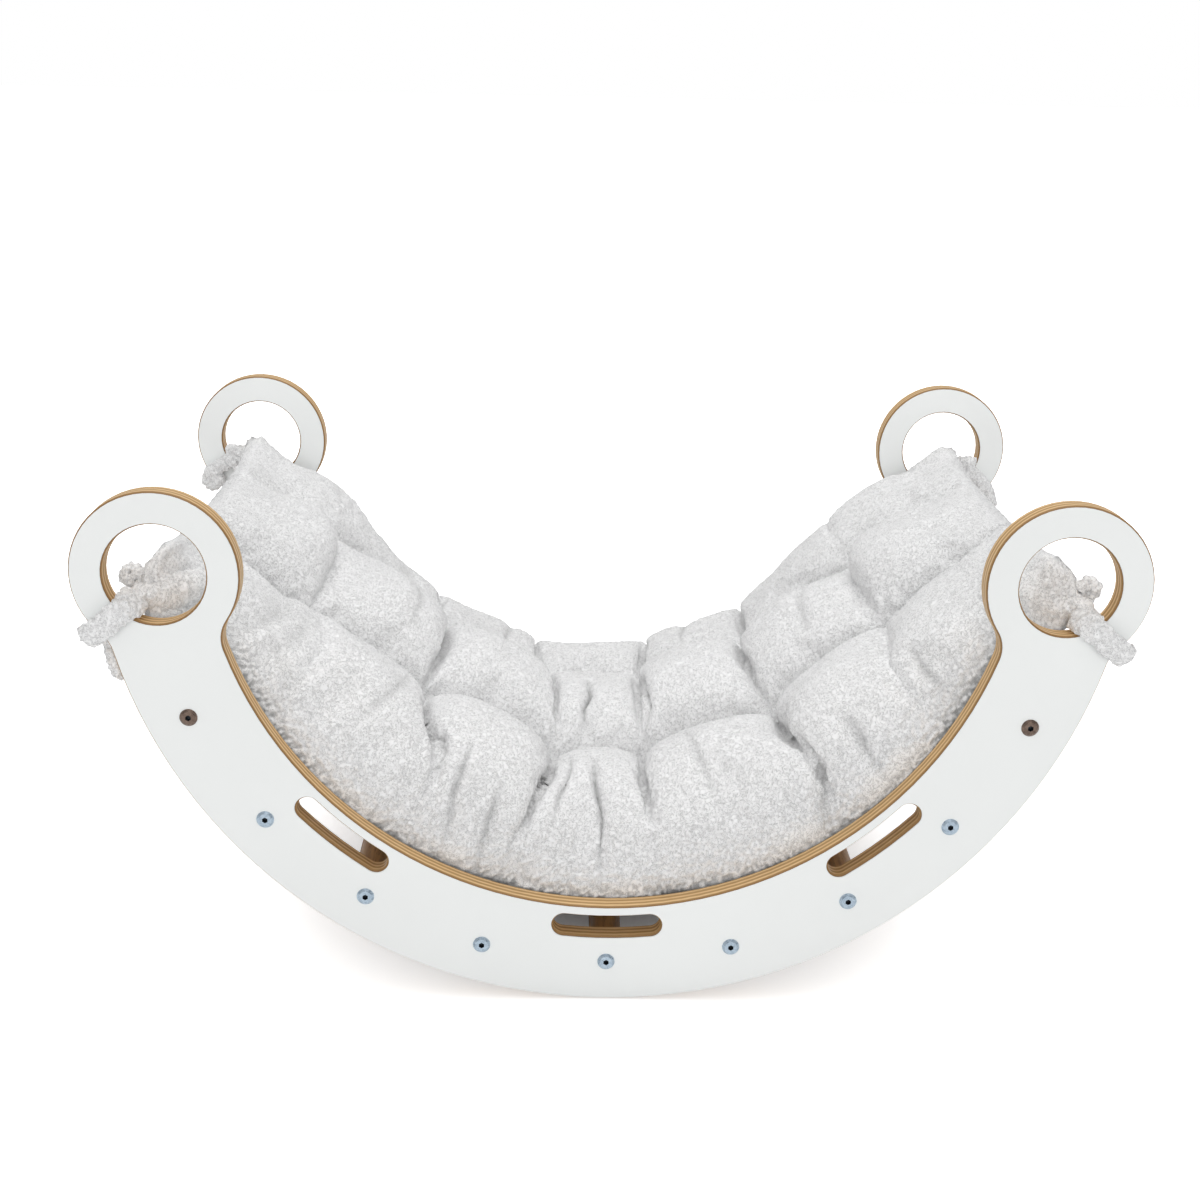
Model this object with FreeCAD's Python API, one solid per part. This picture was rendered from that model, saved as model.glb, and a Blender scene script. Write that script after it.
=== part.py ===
import FreeCAD, Part
import math
import os

# A child's balance rocker: two white-faced plywood crescents with a ring at each end, nine round
# wooden rungs bolted between them, and a tufted fleece cushion tied to the four rings.
# Millimetres. X runs along the rocker, Y across it, Z up. The origin is on the floor, midway
# between the panels, under the lowest point of the runners. Angles are measured at the axis of
# the runner arcs: 0 is straight down, and positive angles go towards +X.

# Side panels
OVERALL_WIDTH = 480.0         # between the outer faces of the two panels
PANEL_THICKNESS = 18.0        # plywood together with its two white faces
FACE_THICKNESS = 0.8          # white laminate on each side of the plywood
EDGE_EASE = 1.2               # eased width of every routed plywood edge
RUNNER_RADIUS = 376.0         # outer arc that rocks on the floor
RING_ANGLE = 83.5             # angle of a ring's centre
RING_INSET = 43.4             # from the runner arc in to a ring's centre
RING_HOLE_RADIUS = 37.2
RING_WALL = 24.2              # wood between a ring's hole and its outside
NECK_FILLET = 25.0            # concave fillets where a ring joins the crescent

# Hand slots
SLOT_WIDTH = 17.0
SLOT_LENGTH = 83.0            # along the arc, over the round ends
SLOT_ANGLE = 40.0             # angle between neighbouring slots
SLOT_MARGIN = 16.5            # from the inner arc to the slots' middle line

# Rungs
RUNG_COUNT = 9
RUNG_RADIUS = 12.5
RUNG_INSET = 32.5             # from the runner arc in to the rungs' axes
RUNG_TO_SLOT = 29.5           # from the rungs' axes in to the slots' middle line
RUNG_RING_ANGLE = 18.7        # angle between the last rung and a ring's centre
RUNG_END_ROUND = 1.0

# Flanged button-head bolts and the threaded inserts in the rung ends
BOLT_RADIUS = 3.0
BOLT_LENGTH = 40.0            # under the head
BOLT_HOLE_CLEARANCE = 0.3
FLANGE_RADIUS = 6.6
FLANGE_THICKNESS = 0.9
HEAD_RADIUS = 5.0
HEAD_HEIGHT = 2.4             # dome above the flange
HEAD_TOP_RADIUS = 2.9         # flat round the hexagon socket
SOCKET_ACROSS_FLATS = 4.0
SOCKET_DEPTH = 2.2
INSERT_WALL = 2.0
INSERT_LENGTH = 20.0
THREAD_CLEARANCE = 0.05       # between bolt and insert, and between insert and rung
BOLT_TIP_ROOM = 4.0           # bore left free beyond a bolt's tip

# Tufted cushion lying on the rungs, as depths above the rungs
TUFT_ANGLES = (-66.0, -38.0, -10.5, 8.0, 34.3, 63.5)
CUSHION_SEAT_GAP = 0.3        # clear of the rungs and of the panels
COVER_THICKNESS = 2.5
PUFF_DEPTH = 110.0            # middle of a puff
ROW_VALLEY_DEPTH = 88.0       # channel between two rows of puffs
CREASE_DEPTH = 92.0           # crease between two puffs of one row
TUFT_DEPTH = 60.0             # at a sewn tuft
CREASE_DRAW_IN = 5.0          # each side is drawn in this far at a crease
END_DEPTH = 20.0              # seam at each end of the cushion
END_LIFT = 6.0                # the end seam leans this far out past the rungs' line
END_CHANNEL = 0.1             # share of the depth that the channels still have at the end seam
EDGE_ROLL = 62.0              # strip along each side where the base rolls up off the rungs
ROLL_INSET = 0.44             # where on that strip the roll is set, as a share of its width
ROLL_RISE = 0.38              # how far the roll has risen there, as a share of the seam's height
SEAM_SHARE = 0.28             # height of the side seam, as a share of the depth
SHOULDER_SHARE = 0.58         # height where the sides turn over into the puffs
SIDE_LEAN = 10.0              # lean of the sides between seam and shoulder
FILLING_GAP = 0.3             # between filling and cover
THREAD_RADIUS = 1.0           # tuft thread
THREAD_GAP = 0.2

# Tie straps round the ring necks
TIE_WIDTH = 18.0
TIE_THICKNESS = 6.0
TIE_CLEARANCE = 0.3
TIE_ROUND = 2.4
TIE_ROOT = 42.0               # strap beside the cushion, inwards from the hole's wall
KNOT_RADIUS = 10.5
KNOT_THICKNESS = 13.0
KNOT_ROUND = 5.0
KNOT_SETBACK = 4.0            # of the knot's middle from the outer edge of the neck
TAIL_LENGTH = 48.0
TAIL_WIDTH = 15.0
TAIL_THICKNESS = 7.0
TAIL_LEAN = 16.0              # degrees from straight down, towards the middle of the rocker

# Derived radii about the runner axis
RUNG_CIRCLE = RUNNER_RADIUS - RUNG_INSET
SLOT_CIRCLE = RUNG_CIRCLE - RUNG_TO_SLOT
INNER_RADIUS = SLOT_CIRCLE - SLOT_MARGIN
RING_CIRCLE = RUNNER_RADIUS - RING_INSET
RING_RADIUS = RING_HOLE_RADIUS + RING_WALL
RUNG_TOP = RUNG_CIRCLE - RUNG_RADIUS
CUSHION_BASE = RUNG_TOP - CUSHION_SEAT_GAP

# Derived places across the width
HALF_WIDTH = OVERALL_WIDTH / 2
INNER_FACE = HALF_WIDTH - PANEL_THICKNESS
CUSHION_HALF_WIDTH = INNER_FACE - CUSHION_SEAT_GAP
ROW_VALLEY_Y = CUSHION_HALF_WIDTH / 3
END_DRAW_IN = TIE_THICKNESS + TIE_CLEARANCE

RUNG_END_ANGLE = RING_ANGLE - RUNG_RING_ANGLE
RUNG_PITCH = 2 * RUNG_END_ANGLE / (RUNG_COUNT - 1)
RUNG_ANGLES = [RUNG_PITCH * i - RUNG_END_ANGLE for i in range(RUNG_COUNT)]
BOLT_HOLE_RADIUS = BOLT_RADIUS + BOLT_HOLE_CLEARANCE
INSERT_RADIUS = BOLT_RADIUS + THREAD_CLEARANCE + INSERT_WALL
Y_AXIS = FreeCAD.Vector(0, 1, 0)


def polar(radius, angle, y=0.0):
    turn = math.radians(angle)
    return FreeCAD.Vector(radius * math.sin(turn), y, RUNNER_RADIUS - radius * math.cos(turn))


def outward(angle):
    turn = math.radians(angle)
    return FreeCAD.Vector(math.sin(turn), 0, -math.cos(turn))


def arc(start, middle, end):
    return Part.Arc(start, middle, end).toShape()


def line(start, end):
    return Part.LineSegment(start, end).toShape()


def mirrored_x(point):
    return FreeCAD.Vector(-point.x, point.y, point.z)


def towards(centre, point, distance):
    return centre + (point - centre).normalize() * distance


def save(shape, node):
    shape.exportStep("parts/" + node + ".step")


# Panel outline

def neck_centre(radius):
    """Centre of a neck fillet, at a radius from the runner axis, on the +X side."""
    reach = RING_RADIUS + NECK_FILLET
    cosine = (radius ** 2 + RING_CIRCLE ** 2 - reach ** 2) / (2 * radius * RING_CIRCLE)
    return polar(radius, RING_ANGLE - math.degrees(math.acos(cosine)))


def panel_outline(inset):
    """Outline of a panel in the XZ plane, every edge moved inwards by the inset."""
    axis = polar(0, 0)
    ring = polar(RING_CIRCLE, RING_ANGLE)
    outer_neck = neck_centre(RUNNER_RADIUS + NECK_FILLET)
    inner_neck = neck_centre(INNER_RADIUS - NECK_FILLET)
    runner_end = towards(axis, outer_neck, RUNNER_RADIUS - inset)
    inner_end = towards(axis, inner_neck, INNER_RADIUS + inset)
    ring_outer = towards(ring, outer_neck, RING_RADIUS - inset)
    ring_inner = towards(ring, inner_neck, RING_RADIUS - inset)
    outer_mid = towards(outer_neck, (runner_end + ring_outer) / 2, NECK_FILLET + inset)
    inner_mid = towards(inner_neck, (inner_end + ring_inner) / 2, NECK_FILLET + inset)
    ring_far = towards(ring, (ring_outer + ring_inner) / 2, inset - RING_RADIUS)
    half = [(runner_end, outer_mid, ring_outer),
            (ring_outer, ring_far, ring_inner),
            (ring_inner, inner_mid, inner_end)]
    edges = [arc(mirrored_x(runner_end), polar(RUNNER_RADIUS - inset, 0), runner_end)]
    edges += [arc(*points) for points in half]
    edges.append(arc(inner_end, polar(INNER_RADIUS + inset, 0), mirrored_x(inner_end)))
    edges += [arc(*[mirrored_x(p) for p in reversed(points)]) for points in reversed(half)]
    return Part.Wire(edges)


def slot_outline(angle, grow):
    half = SLOT_WIDTH / 2 + grow
    reach = math.degrees((SLOT_LENGTH - SLOT_WIDTH) / 2 / SLOT_CIRCLE)
    along = outward(angle + reach).cross(Y_AXIS) * half
    back = outward(angle - reach).cross(Y_AXIS) * -half
    far = [polar(SLOT_CIRCLE + half, angle + step) for step in (-reach, 0, reach)]
    near = [polar(SLOT_CIRCLE - half, angle + step) for step in (reach, 0, -reach)]
    return Part.Wire([arc(*far),
                      arc(far[2], polar(SLOT_CIRCLE, angle + reach) + along, near[0]),
                      arc(*near),
                      arc(near[2], polar(SLOT_CIRCLE, angle - reach) + back, far[0])])


def panel_slab(inset, y, thickness):
    """Crescent with its ring holes and hand slots, from y over a thickness."""
    depth = Y_AXIS * thickness
    slab = Part.Face(panel_outline(inset)).extrude(depth)
    holes = [Part.Face(slot_outline(angle, inset)).extrude(depth)
             for angle in (-SLOT_ANGLE, 0, SLOT_ANGLE)]
    for side in (-1, 1):
        ring = polar(RING_CIRCLE, side * RING_ANGLE)
        holes.append(Part.makeCylinder(RING_HOLE_RADIUS + inset, thickness, ring, Y_AXIS))
    slab = slab.cut(holes)
    slab.translate(Y_AXIS * y)
    return slab.Solids[0]


def bolt_holes(slab):
    box = slab.BoundBox
    drills = [Part.makeCylinder(BOLT_HOLE_RADIUS, box.YLength, polar(RUNG_CIRCLE, a, box.YMin), Y_AXIS)
              for a in RUNG_ANGLES]
    return slab.cut(drills).Solids[0]


def make_panel(side, name):
    """Plywood core with eased edges, and a white face on each side of it."""
    middle = side * (HALF_WIDTH - PANEL_THICKNESS / 2)
    core_thickness = PANEL_THICKNESS - 2 * FACE_THICKNESS
    core = panel_slab(0, middle - core_thickness / 2, core_thickness)
    rims = [e for e in core.Edges if e.BoundBox.YLength < EDGE_EASE / 10]
    core = core.makeChamfer(EDGE_EASE, rims)
    save(bolt_holes(core), name + "_panel_plywood")
    for sense, face in ((side, "outer"), (-side, "inner")):
        low = middle + sense * (PANEL_THICKNESS - FACE_THICKNESS) / 2 - FACE_THICKNESS / 2
        save(bolt_holes(panel_slab(EDGE_EASE, low, FACE_THICKNESS)), name + "_panel_" + face + "_face")


# Rungs and their fixings

def make_rung(angle):
    """Round rung with an insert socket and a bore for the bolt's tip in each end."""
    rung = Part.makeCylinder(RUNG_RADIUS, 2 * INNER_FACE, polar(RUNG_CIRCLE, angle, -INNER_FACE), Y_AXIS)
    rung = rung.makeFillet(RUNG_END_ROUND, [e for e in rung.Edges if e.BoundBox.YLength < RUNG_END_ROUND])
    bore_depth = BOLT_LENGTH - PANEL_THICKNESS + BOLT_TIP_ROOM
    for side in (-1, 1):
        mouth = polar(RUNG_CIRCLE, angle, side * INNER_FACE)
        inwards = Y_AXIS * -side
        rung = rung.cut([Part.makeCylinder(INSERT_RADIUS + THREAD_CLEARANCE, INSERT_LENGTH, mouth, inwards),
                         Part.makeCylinder(BOLT_HOLE_RADIUS, bore_depth, mouth, inwards)])
    return rung.Solids[0]


def make_insert(angle, side):
    mouth = polar(RUNG_CIRCLE, angle, side * INNER_FACE)
    inwards = Y_AXIS * -side
    sleeve = Part.makeCylinder(INSERT_RADIUS, INSERT_LENGTH, mouth, inwards)
    return sleeve.cut(Part.makeCylinder(BOLT_RADIUS + THREAD_CLEARANCE, INSERT_LENGTH, mouth, inwards))


def make_bolt(angle, side):
    """Shank, flange and domed head with a hexagon socket, turned about the rung's axis."""
    domed = HEAD_HEIGHT + FLANGE_THICKNESS
    rise = math.hypot(HEAD_RADIUS - HEAD_TOP_RADIUS, HEAD_HEIGHT)
    bulge = rise / 8
    mid_r = (HEAD_RADIUS + HEAD_TOP_RADIUS) / 2 + bulge * HEAD_HEIGHT / rise
    mid_h = FLANGE_THICKNESS + HEAD_HEIGHT / 2 + bulge * (HEAD_RADIUS - HEAD_TOP_RADIUS) / rise
    points = [FreeCAD.Vector(r, 0, h) for r, h in (
        (0, -BOLT_LENGTH), (BOLT_RADIUS, -BOLT_LENGTH), (BOLT_RADIUS, 0), (FLANGE_RADIUS, 0),
        (FLANGE_RADIUS, FLANGE_THICKNESS / 2), (HEAD_RADIUS, FLANGE_THICKNESS))]
    top = [FreeCAD.Vector(HEAD_TOP_RADIUS, 0, domed), FreeCAD.Vector(0, 0, domed)]
    edges = [line(a, b) for a, b in zip(points, points[1:])]
    edges.append(arc(points[-1], FreeCAD.Vector(mid_r, 0, mid_h), top[0]))
    edges += [line(top[0], top[1]), line(top[1], points[0])]
    bolt = Part.Face(Part.Wire(edges)).revolve(FreeCAD.Vector(), FreeCAD.Vector(0, 0, 1), 360)
    corner = SOCKET_ACROSS_FLATS / math.sqrt(3)
    hexagon = [FreeCAD.Vector(corner * math.cos(math.radians(60 * i)),
                              corner * math.sin(math.radians(60 * i)), domed - SOCKET_DEPTH)
               for i in range(7)]
    bolt = bolt.cut(Part.Face(Part.makePolygon(hexagon)).extrude(FreeCAD.Vector(0, 0, SOCKET_DEPTH)))
    bolt.rotate(FreeCAD.Vector(), FreeCAD.Vector(1, 0, 0), -90 * side)
    bolt.translate(polar(RUNG_CIRCLE, angle, side * HALF_WIDTH))
    return bolt.Solids[0]


# Tufted cushion

def cushion_stations(skin):
    """Angle, depth, valley depth, draw-in and lift of every cross-section along the cushion."""
    end = RING_ANGLE - math.degrees(skin / CUSHION_BASE)
    stations = [(angle, CREASE_DEPTH, TUFT_DEPTH, CREASE_DRAW_IN, 0) for angle in TUFT_ANGLES]
    for first, last in zip(TUFT_ANGLES, TUFT_ANGLES[1:]):
        for share in (0.25, 0.5, 0.75):
            swell = math.sin(math.pi * share)
            stations.append((first + (last - first) * share,
                             CREASE_DEPTH + (PUFF_DEPTH - CREASE_DEPTH) * swell,
                             TUFT_DEPTH + (ROW_VALLEY_DEPTH - TUFT_DEPTH) * swell,
                             CREASE_DRAW_IN * (1 - swell), 0))
    for tuft, tip in ((TUFT_ANGLES[0], -end), (TUFT_ANGLES[-1], end)):
        for share in (0.3, 0.55, 0.75, 0.9, 1):
            depth = END_DEPTH + (CREASE_DEPTH - END_DEPTH) * math.sqrt(1 - share ** 2)
            channel = (1 - TUFT_DEPTH / CREASE_DEPTH) * (1 - share) + END_CHANNEL * share
            draw_in = CREASE_DRAW_IN + (END_DRAW_IN - CREASE_DRAW_IN) * min(1, 2 * share)
            stations.append((tuft + (tip - tuft) * share, depth, depth * (1 - channel),
                             draw_in, END_LIFT * share ** 2))
    return sorted(stations)


def cushion_section(station, skin):
    """Closed cross-section at one station, smaller by the skin all round.

    A flat base on the rungs, edges that roll up to the side seams, and three puffs side by side.
    """
    angle, depth, valley, draw_in, lift = station
    half = CUSHION_HALF_WIDTH - draw_in - skin
    edge = half - SIDE_LEAN
    roll = EDGE_ROLL * depth / PUFF_DEPTH
    base = CUSHION_BASE + lift - skin
    crown = CUSHION_BASE + lift - depth + skin
    trough = CUSHION_BASE + lift - valley + skin
    seam = base - SEAM_SHARE * depth
    shoulder = base - SHOULDER_SHARE * depth
    puff_y = (ROW_VALLEY_Y + edge) / 2
    foot = half - roll

    def at(y, radius):
        return polar(radius, angle, y)

    def side(sign):
        rolled = arc(at(sign * foot, base),
                     at(sign * (half - ROLL_INSET * roll), base - ROLL_RISE * (base - seam)),
                     at(sign * half, seam))
        wall = arc(at(sign * half, seam),
                   at(sign * (half - SIDE_LEAN / 3), (seam + shoulder) / 2),
                   at(sign * edge, shoulder))
        puff = arc(at(sign * edge, shoulder), at(sign * puff_y, crown), at(sign * ROW_VALLEY_Y, trough))
        return [rolled, wall, puff]

    middle_puff = arc(at(ROW_VALLEY_Y, trough), at(0, crown), at(-ROW_VALLEY_Y, trough))
    base_line = line(at(-foot, base), at(foot, base))
    return Part.Wire([base_line] + side(1) + [middle_puff] + list(reversed(side(-1))))


def cushion_solid(skin):
    """Cushion bent along the rungs: three rows of puffs between the tuft columns."""
    wires = [cushion_section(station, skin) for station in cushion_stations(skin)]
    return Part.makeLoft(wires, True, False).Solids[0]


def below_seam():
    """Space below the cushion's seam, a little lower than where the sides turn in."""
    wires = []
    for angle, depth, valley, draw_in, lift in cushion_stations(-COVER_THICKNESS):
        base = CUSHION_BASE + lift
        seam = base - SEAM_SHARE * depth + COVER_THICKNESS
        corners = [polar(radius, angle, y) for radius, y in (
            (seam, -HALF_WIDTH), (seam, HALF_WIDTH), (base + depth, HALF_WIDTH), (base + depth, -HALF_WIDTH))]
        wires.append(Part.makePolygon(corners + corners[:1]))
    return Part.makeLoft(wires, True, False).Solids[0]


def tuft_rods(radius, margin):
    """A rod at every tuft, from the cushion's base to the tuft's bottom, shorter by the margin."""
    rods = []
    for angle in TUFT_ANGLES:
        for y in (-ROW_VALLEY_Y, ROW_VALLEY_Y):
            foot = polar(CUSHION_BASE - margin, angle, y)
            rods.append(Part.makeCylinder(radius, TUFT_DEPTH - 2 * margin, foot, outward(angle) * -1))
    return rods


def make_cushion():
    """Fleece top and base cover sewn together, fibre filling, and the threads of the tufts."""
    holes = tuft_rods(THREAD_RADIUS + THREAD_GAP, -THREAD_GAP)
    cover = cushion_solid(0).cut(cushion_solid(COVER_THICKNESS))
    lower = below_seam()
    save(cover.cut(lower).cut(holes).Solids[0], "cushion_top_cover")
    save(cover.common(lower).cut(holes).Solids[0], "cushion_base_cover")
    filling = cushion_solid(COVER_THICKNESS + FILLING_GAP)
    save(filling.cut(holes).Solids[0], "cushion_filling")
    save(Part.makeCompound(tuft_rods(THREAD_RADIUS, THREAD_GAP)), "tuft_threads")


# Tie straps, made for the back right ring and mirrored to the others

def rounded_box(low, high, radius, direction):
    """Box between two corners with its four edges along one direction rounded."""
    box = Part.makeBox(*(high - low), low)
    edges = [e for e in box.Edges if e.tangentAt(e.FirstParameter).cross(direction).Length < 0.001]
    return box.makeFillet(radius, edges)


def make_tie():
    """Strap looped round the ring's neck, and the knot with its hanging tail on the inner side.

    Local x runs from the ring's centre out through the neck, y across the panel.
    """
    vector = FreeCAD.Vector
    half = TIE_WIDTH / 2
    hole = math.sqrt(RING_HOLE_RADIUS ** 2 - half ** 2) - TIE_CLEARANCE
    neck = RING_RADIUS + NECK_FILLET - math.sqrt(NECK_FILLET ** 2 - half ** 2) + TIE_CLEARANCE
    inner = INNER_FACE - TIE_CLEARANCE
    outer = HALF_WIDTH + TIE_CLEARANCE
    across = vector(0, 0, 1)
    skin = TIE_THICKNESS
    loop = rounded_box(vector(hole - skin, inner - skin, -half),
                       vector(neck + skin, outer + skin, half), TIE_ROUND, across)
    loop = loop.cut(Part.makeBox(neck - hole, outer - inner, TIE_WIDTH, vector(hole, inner, -half)))
    root = rounded_box(vector(hole - TIE_ROOT, inner - skin, -half),
                       vector(hole, inner, half), TIE_ROUND, across)
    loop = loop.fuse(root).removeSplitter()

    knot_y = inner - skin - TIE_CLEARANCE - KNOT_THICKNESS
    knot = Part.makeCylinder(KNOT_RADIUS, KNOT_THICKNESS, vector(neck - KNOT_SETBACK, knot_y, 0), Y_AXIS)
    knot = knot.makeFillet(KNOT_ROUND, [e for e in knot.Edges if e.BoundBox.YLength < KNOT_ROUND])
    tail_y = knot_y + (KNOT_THICKNESS - TAIL_THICKNESS) / 2
    tail = rounded_box(vector(-TAIL_WIDTH / 2, tail_y, -TAIL_LENGTH),
                       vector(TAIL_WIDTH / 2, tail_y + TAIL_THICKNESS, 0), TIE_ROUND, across)
    ring = polar(RING_CIRCLE, RING_ANGLE)
    out = neck_centre(RUNNER_RADIUS + NECK_FILLET) - ring
    slope = math.degrees(math.atan2(-out.z, out.x))
    tail.rotate(vector(), Y_AXIS, TAIL_LEAN - slope)
    tail.translate(vector(neck - KNOT_SETBACK, 0, 0))
    knot = knot.fuse(tail)
    for piece in (loop, knot):
        piece.rotate(vector(), Y_AXIS, slope)
        piece.translate(ring)
    return loop.Solids[0], knot.Solids[0]


os.makedirs("parts", exist_ok=True)
for panel_side, panel_name in ((-1, "front"), (1, "back")):
    make_panel(panel_side, panel_name)
    save(Part.makeCompound([make_bolt(a, panel_side) for a in RUNG_ANGLES]), panel_name + "_bolts")
    save(Part.makeCompound([make_insert(a, panel_side) for a in RUNG_ANGLES]), panel_name + "_rung_inserts")
for number, rung_angle in enumerate(RUNG_ANGLES, 1):
    save(make_rung(rung_angle), "rung_%d" % number)
make_cushion()
for tie_piece, tie_name in zip(make_tie(), ("tie_loop", "tie_knot")):
    front_piece = tie_piece.mirror(FreeCAD.Vector(), Y_AXIS)
    for corner, piece in (("back", tie_piece), ("front", front_piece)):
        save(piece, corner + "_right_" + tie_name)
        save(piece.mirror(FreeCAD.Vector(), FreeCAD.Vector(1, 0, 0)), corner + "_left_" + tie_name)
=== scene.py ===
import math

import bpy
import numpy as np
from mathutils import Matrix, Vector


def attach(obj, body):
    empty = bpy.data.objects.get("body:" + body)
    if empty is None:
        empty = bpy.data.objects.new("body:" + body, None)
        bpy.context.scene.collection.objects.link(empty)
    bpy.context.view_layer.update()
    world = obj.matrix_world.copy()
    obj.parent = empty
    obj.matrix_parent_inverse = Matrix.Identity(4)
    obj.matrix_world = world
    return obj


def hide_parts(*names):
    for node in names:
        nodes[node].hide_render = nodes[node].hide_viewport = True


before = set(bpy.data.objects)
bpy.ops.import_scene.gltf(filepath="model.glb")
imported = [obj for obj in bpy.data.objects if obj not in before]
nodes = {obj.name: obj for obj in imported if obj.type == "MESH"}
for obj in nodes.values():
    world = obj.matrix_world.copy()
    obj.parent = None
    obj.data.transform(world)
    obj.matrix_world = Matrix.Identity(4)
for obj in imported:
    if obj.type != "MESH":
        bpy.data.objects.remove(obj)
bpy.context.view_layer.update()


# Plywood cores of the two side panels
# Crescents of birch plywood, cut with a router from 18 mm board and left bare round every edge.
# The crosswise plies show there as stripes, and the rims beside the faces are drawn darker.
PLY_PAIR = 0.005
PLY_RIPPLE = 0.0006
PANEL_MIDDLE = 0.231
DARK_RIM_FROM, DARK_RIM_TO = 0.0068, 0.0081


def linear(hex_colour):
    """An sRGB hex value as a linear colour with alpha."""
    parts = [int(hex_colour[i:i + 2], 16) / 255 for i in (1, 3, 5)]
    return tuple(p / 12.92 if p <= 0.04045 else ((p + 0.055) / 1.055) ** 2.4 for p in parts) + (1.0,)


def new_material(name):
    """A material and its shader node."""
    material = bpy.data.materials.new(name)
    material.use_nodes = True
    return material, material.node_tree.nodes["Principled BSDF"]


def wire(node, inputs):
    """Sets a node's inputs, each to a value or to the (node, output) that feeds it."""
    for socket, value in inputs.items():
        if isinstance(value, tuple) and isinstance(value[0], bpy.types.Node):
            node.id_data.links.new(value[0].outputs[value[1]], node.inputs[socket])
        else:
            node.inputs[socket].default_value = value


def add(material, kind, inputs, stops=(), **settings):
    """A new node with its inputs, its settings and, on a colour ramp, its stops."""
    node = material.node_tree.nodes.new(kind)
    for name, value in settings.items():
        setattr(node, name, value)
    wire(node, inputs)
    for position, colour in stops:
        node.color_ramp.elements.new(position).color = linear(colour)
    if stops:
        node.color_ramp.elements.remove(node.color_ramp.elements[0])
        node.color_ramp.elements.remove(node.color_ramp.elements[-1])
    return node


def dress(node, material):
    """Gives a CAD node one material."""
    mesh = nodes[node].data
    mesh.materials.clear()
    mesh.materials.append(material)


# Birch plywood with a clear varnish: pale brown plies, in turn along and across the grain, so every second
# stripe is darker end grain, with fine fibres along each stripe. Plies are drawn 2.5 mm thick, because the
# real ones are too thin to show.
plywood, shader = new_material("birch_plywood_edge")
place = add(plywood, "ShaderNodeTexCoord", {})
parts = add(plywood, "ShaderNodeSeparateXYZ", {"Vector": (place, "Object")})
depth = add(plywood, "ShaderNodeMath", {0: (parts, "Y")}, operation="ABSOLUTE")
fibre_place = add(plywood, "ShaderNodeMapping", {"Vector": (place, "Object"), "Scale": (1.0, 14.0, 1.0)})
fibre = add(plywood, "ShaderNodeTexNoise",
            {"Vector": (fibre_place, "Vector"), "Scale": 90.0, "Detail": 5.0})
sway = add(plywood, "ShaderNodeMath",
           {0: (fibre, "Fac"), 1: PLY_RIPPLE, 2: (depth, "Value")}, operation="MULTIPLY_ADD")
turns = add(plywood, "ShaderNodeMath",
            {0: (sway, "Value"), 1: 2 * math.pi / PLY_PAIR}, operation="MULTIPLY")
wave = add(plywood, "ShaderNodeMath", {0: (turns, "Value")}, operation="SINE")
layer = add(plywood, "ShaderNodeMapRange",
            {"Value": (wave, "Value"), "From Min": -1.0, "From Max": 1.0, "To Max": 0.65})
mixed = add(plywood, "ShaderNodeMath",
            {0: (fibre, "Fac"), 1: 0.45, 2: (layer, "Result")}, operation="MULTIPLY_ADD")
tone = add(plywood, "ShaderNodeValToRGB", {"Fac": (mixed, "Value")},
           [(0.2, "#A8814D"), (0.55, "#C39A62"), (0.7, "#D5AE77"), (0.85, "#E4C390")])
# Darker brown towards the rims beside the faces
rim_side = add(plywood, "ShaderNodeMath", {0: (depth, "Value"), 1: PANEL_MIDDLE}, operation="SUBTRACT")
rim_far = add(plywood, "ShaderNodeMath", {0: (rim_side, "Value")}, operation="ABSOLUTE")
rim = add(plywood, "ShaderNodeMapRange",
          {"Value": (rim_far, "Value"), "From Min": DARK_RIM_FROM, "From Max": DARK_RIM_TO, "To Max": 0.8})
dark_rim = add(plywood, "ShaderNodeMix",
            {"Factor": (rim, "Result"), "A": (tone, "Color"), "B": linear("#6E4F30")}, data_type="RGBA")
bump = add(plywood, "ShaderNodeBump", {"Height": (fibre, "Fac"), "Strength": 0.15, "Distance": 0.0004})
wire(shader, {"Base Color": (dark_rim, "Result"), "Normal": (bump, "Normal"),
              "Roughness": 0.5, "Coat Weight": 0.1})
for name in ("front_panel_plywood", "back_panel_plywood"):
    dress(name, plywood)


# White faces of the panels
# A thin white laminate pressed on both sides of each board, trimmed a little short of the eased edge.
laminate, shader = new_material("white_melamine_laminate")
# Melamine, pressed against a satin plate: an even cool white with a broad soft sheen and a very fine
# pebble, drawn at 2 mm because the real one is too small to show.
place = add(laminate, "ShaderNodeTexCoord", {})
cloud = add(laminate, "ShaderNodeTexNoise", {"Vector": (place, "Object"), "Scale": 5.0, "Detail": 3.0})
tone = add(laminate, "ShaderNodeValToRGB", {"Fac": (cloud, "Fac")}, [(0.3, "#EEF0EF"), (0.7, "#F2F4F3")])
pebble = add(laminate, "ShaderNodeTexNoise", {"Vector": (place, "Object"), "Scale": 500.0, "Detail": 2.0})
bump = add(laminate, "ShaderNodeBump", {"Height": (pebble, "Fac"), "Strength": 0.06, "Distance": 0.0003})
wire(shader, {"Base Color": (tone, "Color"), "Normal": (bump, "Normal"), "Roughness": 0.42})
for panel in ("front", "back"):
    for face in ("outer", "inner"):
        dress("%s_panel_%s_face" % (panel, face), laminate)


# Rungs
# Nine turned beech rods, 25 mm thick, bolted between the panels and rubbed with oil.
RUNG_COUNT = 9
beech, shader = new_material("oiled_beech")
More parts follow.
